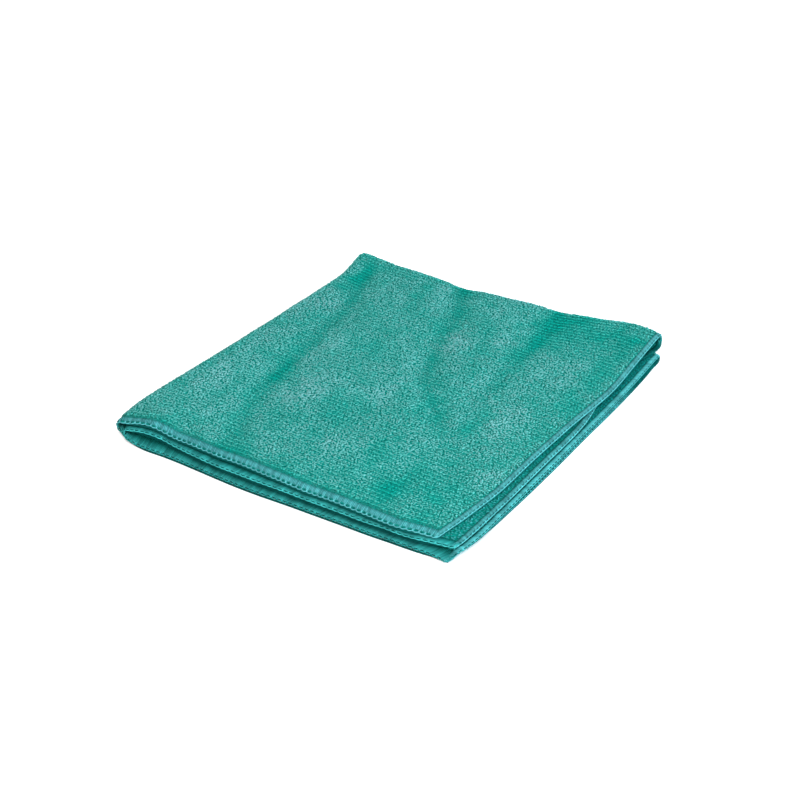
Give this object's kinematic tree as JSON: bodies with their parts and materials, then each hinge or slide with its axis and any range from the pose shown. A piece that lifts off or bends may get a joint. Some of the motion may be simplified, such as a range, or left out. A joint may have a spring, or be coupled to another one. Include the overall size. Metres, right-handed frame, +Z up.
{
  "type": "microfibre cloth",
  "caption": "Terry microfibre cleaning cloth with an overlocked hem all round, folded into a flat square stack for wiping, dusting or display.",
  "frame": {"origin": "centre of the bounding box's bottom, on the surface that the cloth lies on", "axes": "+Z up; +Y from the open front hems to the fold at the back; +X from the fold at the left to the open hems at the right"},
  "size_m": [0.2016, 0.2078, 0.016],
  "materials": {
    "teal_terry": "soft looped terry, matt"
  },
  "bodies": {
    "root": {"cloth": "teal_terry"}
  },
  "joints": []
}
